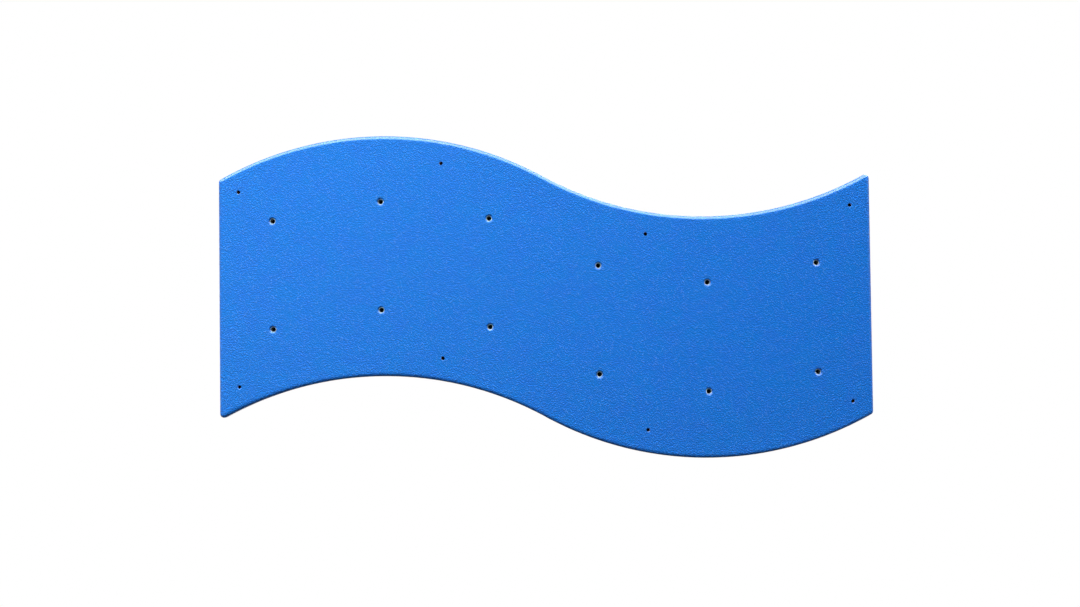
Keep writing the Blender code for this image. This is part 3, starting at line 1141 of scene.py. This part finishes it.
@dataclass
class FlangeScrew(Piece):
    """A cross-recessed pan-head wood screw, driven from the back of the panel."""

    turn: float  # how far its recess is turned, in radians
    head: float = 3.45 * MM  # radii, here and below
    core: float = 1.3 * MM
    point: float = 0.05 * MM
    rim: float = 1.1 * MM  # straight side of the head
    head_height: float = 2.2 * MM
    tip: float = 3.0 * MM
    slot: float = 0.5 * MM  # half the width of the cross recess
    slot_wall: float = 0.14 * MM
    slot_length: float = 2.3 * MM
    slot_depth: float = 1.6 * MM
    slot_end: float = 0.55 * MM  # depth at the end of an arm
    thread: Thread = Thread(pitch=1.5 * MM, height=0.68 * MM, flat=0.3, rows_per_turn=6)
    # Grid lines of the head as shares of its radius, in pairs at the edges of the recess.
    lines: tuple[float, ...] = (0.0, 0.145, 0.186, 0.33, 0.5, 0.667, 0.708, 0.85, 1.0)

    def build(self) -> Object:
        """Build the screw where its node is.

        Returns:
            The screw.
        """
        place = Seat.of(self.node)
        seat = place.back + self.head_height
        skin = Skin()
        dome = self.dome_grid(place.centre, place.back)
        skin.grid(dome, closed=False)
        around = out_from(place.centre, rim_of(dome)[:, (0, 2)])
        radii, depths = self.thread.wall(self.core, seat, place.front - self.tip, around)
        even = np.ones((1, len(around)))
        radii = np.concatenate([even * self.head, even * self.head, radii, even * self.point])
        depths = np.concatenate([[seat - self.rim, seat], depths, [place.front]])
        body = lathe(radii, depths, place.centre, around)
        skin.grid(body)
        skin.fill(body[-1][:, (0, 2)], [], place.front)
        return skin.piece(self.node.replace("tnut_screw", "zinc_screw"))

    def dome_grid(self, centre: Array, top: float) -> Array:
        """The head's domed top with its cross recess, on a square grid bent to a disc.

        A grid point (s, t) keeps its place near the middle and moves out to radius max(|s|, |t|) at
        the edge. The dome is the top less (height - rim) * (1 - sqrt(1 - r^2)), and each arm of the
        recess slopes up from the middle to its end.

        Args:
            centre: (x, z) of the screw's axis.
            top: depth of the head's top.

        Returns:
            Grid of (rows, columns, 3) points.
        """
        half = np.array(self.lines)
        line = np.concatenate([-half[:0:-1], half])
        s, t = np.meshgrid(line, line)
        size = np.maximum(np.abs(s), np.abs(t))
        length = np.hypot(s, t)
        squeeze = np.divide(size, length, out=np.ones_like(size), where=length > 0)
        bend = 1.0 + (squeeze - 1.0) * np.clip(2.0 * size - 1.0, 0.0, 1.0)
        a, b = s * bend * self.head, t * bend * self.head
        reach = np.minimum(np.hypot(a, b) / self.head, 1.0)
        crown = (self.head_height - self.rim) * (1.0 - np.sqrt(1.0 - reach**2))
        recess = np.maximum(self.arm(a, b), self.arm(b, a))
        cos, sin = math.cos(self.turn), math.sin(self.turn)
        places = np.stack([a * cos - b * sin, a * sin + b * cos], axis=-1)
        return at_depth(centre + places, top + crown + recess)

    def arm(self, along: Array, across: Array) -> Array:
        """Depth of one arm pair of the cross recess below the dome: a clipped trough that slopes up.

        Args:
            along: distances from the axis along the arms.
            across: distances from the arms' middle line.

        Returns:
            Depths, and 0 outside the arms.
        """
        inside = np.clip((self.slot + self.slot_wall - np.abs(across)) / self.slot_wall, 0.0, 1.0)
        ends = np.clip((self.slot_length + self.slot_wall - np.abs(along)) / self.slot_wall, 0.0, 1.0)
        fall = (self.slot_depth - self.slot_end) * np.abs(along) / self.slot_length
        return (self.slot_depth - fall) * inside * ends


# Studio


@dataclass(frozen=True)
class SoftLamp:
    """A softbox: a flat, evenly glowing rectangle that the camera doesn't see."""

    name: str
    place: tuple[float, float, float]
    aim: tuple[float, float, float]
    size: Pair
    glow: float  # radiance, where a white surface in full light has 1
    glossy: bool = False  # whether gloss mirrors it

    def build(self) -> None:
        """Hang the lamp. Its power is radiance * pi * area."""
        data = bpy.data.lights.new(self.name, "AREA")
        data.shape = "RECTANGLE"
        data.size, data.size_y = self.size
        data.energy = self.glow * math.pi * self.size[0] * self.size[1]
        lamp = bpy.data.objects.new(self.name, data)
        lamp.location = self.place
        direction = Vector(self.aim) - Vector(self.place)
        lamp.rotation_euler = direction.to_track_quat("-Z", "Y").to_euler()
        lamp.visible_camera = False
        lamp.visible_glossy = self.glossy
        bpy.context.scene.collection.objects.link(lamp)


LAMPS = (
    SoftLamp("main", (-1.3, -3.8, 5.1), (-7.0, 0.0, -1.3), (2.2, 2.2), 56.0),
    SoftLamp("side", (2.6, -0.2, 0.8), (0.5, 0.0, 0.0), (1.2, 1.2), 5.0),
    SoftLamp("back_fill", (1.7, 2.2, 2.4), (0.0, 0.0, 0.0), (2.2, 1.8), 8.0, glossy=True),
)


@dataclass
class Studio:
    """A pale floor, soft lamps, a white surround and a dark card of painted shade behind the open holes."""

    shape: PanelShape
    ambient: float = 0.16
    room: str = "#1e2730"  # colours that gloss sees, here and below
    daylight: str = "#a9f3ff"
    walls: str = "#b9bbbd"
    glow: Pair = (1.3, 25.0)  # radiance of a white wall and of a white ceiling
    daylight_fade: Pair = (-0.22, 0.3)  # in the z - x of a direction
    walls_fade: Pair = (-0.95, -0.5)  # in its y
    ceiling_fade: Pair = (0.33, 0.65)  # in its z
    front_fade: Pair = (0.15, -0.1)  # in its y, where the ceiling begins
    floor_drop: float = 0.85  # how far the floor lies below the panel's middle
    floor_radius: float = 6.0
    floor_sides: int = 64
    floor_fade: Pair = (0.55, 1.0)  # distances over which it runs out into white
    behind_fade: Pair = (0.0, 0.4)  # y over which gloss begins to see that white
    pale: str = "#d4d4d3"
    bounce: str = "#3c3c3c"  # the floor's colour for light that it throws back at the panel
    card_inset: float = 6 * MM
    card_gap: float = 1.5 * MM
    card_step: int = 10  # cells of the front's grid to one of the card's

    def build(self) -> None:
        """Set up everything that isn't part of the panel."""
        self.add_world()
        self.add_floor()
        self.add_card()
        for lamp in LAMPS:
            lamp.build()

    def add_world(self) -> None:
        """White where it is seen, a dim grey fill for diffuse light, and a room of its own for gloss.

        Gloss sees a dark room round the camera, with daylight coming in from the upper left, pale
        walls further round, and a bright ceiling over the front.
        """
        world = bpy.data.worlds.new("studio")
        bpy.context.scene.world = world
        world.use_nodes = True
        tree = world.node_tree
        rays = add_node(tree, "LightPath").outputs
        direction = add_node(tree, "TexCoord").outputs["Generated"]
        axis = add_node(tree, "SeparateXYZ", (direction,)).outputs
        walls, above, before = [
            add_node(tree, "MapRange", (axis[name], *fade), interpolation_type="SMOOTHSTEP")
            for name, fade in (("Y", self.walls_fade), ("Z", self.ceiling_fade), ("Y", self.front_fade))
        ]
        ceiling = add_node(tree, "Math", (above, before), operation="MULTIPLY")
        slant = add_node(tree, "Math", (axis["Z"], axis["X"]), operation="SUBTRACT")
        window = add_node(tree, "MapRange", (slant, *self.daylight_fade))
        room = add_node(tree, "Mix", (window, self.room, self.daylight), data_type="RGBA")
        pale = add_node(tree, "Math", (walls, ceiling), operation="MAXIMUM")
        tone = add_node(tree, "Mix", (pale, room, self.walls), data_type="RGBA")
        glow = add_node(tree, "MapRange", (ceiling, 0.0, 1.0, *self.glow))
        gloss = add_node(tree, "Background", (tone, glow))
        fill, white = [add_node(tree, "Background", (WHITE, strength)) for strength in (self.ambient, 1.0)]
        lit = add_node(tree, "MixShader", (rays["Is Glossy Ray"], fill, gloss))
        shown = (rays["Is Camera Ray"], rays["Is Transmission Ray"])
        seen = add_node(tree, "Math", shown, operation="MAXIMUM")
        mix = add_node(tree, "MixShader", (seen, lit, white))
        plug(tree, tree.nodes["World Output"], {"Surface": mix})

    def add_floor(self) -> None:
        """A round floor that takes the panel's shadow near it and runs out into white further off.

        A ray sees that white in full from the camera and through glass, only its part behind the
        panel in gloss, and not at all otherwise.
        """
        places = np.array([0.0, self.floor_radius])[:, None, None] * spokes(self.floor_sides)
        heights = np.full((*places.shape[:2], 1), -self.floor_drop)
        skin = Skin()
        skin.grid(np.concatenate([places, heights], axis=-1))
        floor = skin.piece("floor", closed=False)
        material, tree, shader = new_shader("pale_studio_floor")
        rays = add_node(tree, "LightPath").outputs
        tone = add_node(tree, "Mix", (rays["Is Camera Ray"], self.bounce, self.pale), data_type="RGBA")
        plug(tree, shader, {"Base Color": tone, "Roughness": 0.9, "Specular IOR Level": 0.1})
        place = add_node(tree, "TexCoord").outputs["Object"]
        flat = add_node(tree, "VectorMath", (place, (1.0, 1.0, 0.0)), operation="MULTIPLY")
        distance = add_node(tree, "VectorMath", (flat,), operation="LENGTH")
        far = (distance, *self.floor_fade)
        fade = add_node(tree, "MapRange", far, interpolation_type="SMOOTHSTEP")
        across = add_node(tree, "SeparateXYZ", (place,)).outputs["Y"]
        behind = add_node(tree, "MapRange", (across, *self.behind_fade))
        seen = add_node(tree, "Math", (rays["Is Glossy Ray"], behind), operation="MULTIPLY")
        for ray in ("Is Camera Ray", "Is Transmission Ray"):
            seen = add_node(tree, "Math", (seen, rays[ray]), operation="MAXIMUM")
        share = add_node(tree, "Math", (fade, seen), operation="MULTIPLY")
        white = add_node(tree, "Emission", (WHITE, 1.0))
        mix = add_node(tree, "MixShader", (share, shader, white))
        plug(tree, tree.nodes["Material Output"], {"Surface": mix})
        floor.data.materials.append(material)

    def add_card(self) -> None:
        """A dark card behind the panel, as painted shade, so that its open holes look black from the front.

        It hides wholly behind the panel, and it isn't there for anything that looks at it from behind.
        """
        cells = self.shape.front_grid()
        middle = cells.mean(axis=0, keepdims=True)
        width, band = np.ptp(cells[..., 0]), np.ptp(cells[:, 0, 1])
        across = cells[..., 0] * (1.0 - 2.0 * self.card_inset / width)
        up = middle[..., 1] + (cells[..., 1] - middle[..., 1]) * (1.0 - 2.0 * self.card_inset / band)
        places = np.stack([across, up], axis=-1)[:: self.card_step, :: self.card_step]
        skin = Skin()
        skin.grid(at_depth(places, -self.card_gap), closed=False)
        card = skin.piece("painted_shade_card", closed=False)
        material, tree, shader = new_shader("painted_shade_card")
        # Near black: painted shade seen through the open holes.
        plug(tree, shader, {"Base Color": "#050505", "Roughness": 1.0, "Specular IOR Level": 0.0})
        clear = add_node(tree, "BsdfTransparent")
        behind = add_node(tree, "NewGeometry").outputs["Backfacing"]
        mix = add_node(tree, "MixShader", (behind, shader, clear))
        plug(tree, tree.nodes["Material Output"], {"Surface": mix})
        card.data.materials.append(material)
        card.visible_diffuse = False
        card.visible_glossy = False
        card.visible_transmission = False
        card.visible_shadow = False


@dataclass(frozen=True)
class PhotoCamera:
    """The camera where the photograph was taken from, with a plain 40 mm lens."""

    place: tuple[float, float, float] = (0.018, -2.2582, -0.0678)
    direction: tuple[float, float, float] = (-0.0116, 0.9996, 0.0242)
    roll: float = math.radians(-0.70)
    lens: float = 40.0  # in millimetres, as the sensor's width
    sensor: float = 36.0

    def build(self) -> None:
        """Set up the scene's camera."""
        data = bpy.data.cameras.new("camera")
        data.lens = self.lens
        data.sensor_width = self.sensor
        camera = bpy.data.objects.new("camera", data)
        camera.location = self.place
        aim = Vector(self.direction).to_track_quat("-Z", "Y")
        camera.rotation_mode = "QUATERNION"
        camera.rotation_quaternion = aim @ Quaternion((0.0, 0.0, 1.0), self.roll)
        bpy.context.scene.collection.objects.link(camera)
        bpy.context.scene.camera = camera


def main() -> None:
    """Build the panel's pieces, dress them and set up the studio."""
    logging.basicConfig(level=logging.INFO, format="%(message)s")
    bpy.context.scene.view_settings.view_transform = "Standard"
    PhotoCamera().build()
    low, high = CAD_BOX
    shape = PanelShape(width=high.x - low.x, height=high.z - low.z, thickness=high.y - low.y)
    Studio(shape).build()

    holes = panel_holes()
    TexturedCoat("textured_coat", shape, holes).dress(TexturedPaint().material(), Slot.COAT)
    PlywoodBoard("plywood_board", shape, holes).dress(BirchPlywood().material(), Slot.PLYWOOD)
    tnut_plate = ZincPlate("zinc_plate_tnut").material()
    bright = ZincPlate("zinc_plate_screw", silver="#c4c8cc", straw="#c6c1b2", roughness=(0.19, 0.4))
    screw_plate = bright.material()
    rng = np.random.default_rng(SCREW_SEED)
    for hole in holes:
        if hole.kind is HoleKind.HOLD:
            TNut(hole.nut, hole.screw_places()).dress(tnut_plate, Slot.TNUT)
            for screw in hole.screws:
                FlangeScrew(screw, rng.uniform(0.0, math.pi / 2)).dress(screw_plate, Slot.SCREW)


if __name__ == "__main__":
    main()
